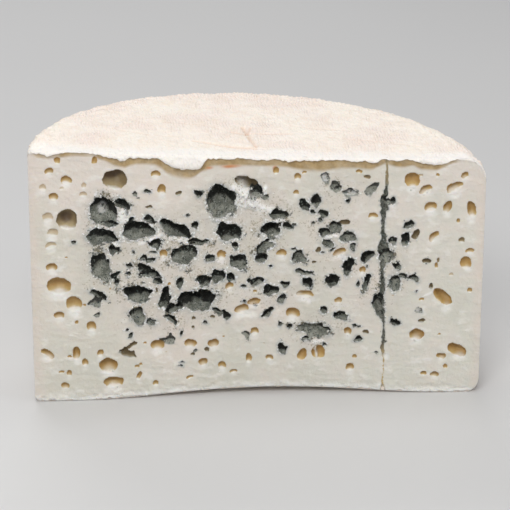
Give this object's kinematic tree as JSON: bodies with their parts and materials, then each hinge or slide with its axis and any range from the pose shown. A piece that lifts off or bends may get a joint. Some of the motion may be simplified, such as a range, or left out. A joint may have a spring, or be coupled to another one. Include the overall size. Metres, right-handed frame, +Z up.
{
  "type": "half wheel of blue cheese",
  "caption": "Half of a round blue-veined cheese, cut straight down, resting on its flat underside with the veined and pitted cut face upright and a pale rind over its top and sides.",
  "frame": {"origin": "on the support surface, under the middle of the piece's box", "axes": "+X along the cut face to the viewer's right, +Y from the cut face into the cheese, +Z up"},
  "size_m": [0.1897, 0.0933, 0.1127],
  "materials": {
    "paste": "moist ivory paste with blue-green pockets and small ochre eyes",
    "rind": "dry pale rind with a fine cloth-like ripple"
  },
  "bodies": {
    "root": {"half_wheel": "paste"}
  },
  "joints": []
}
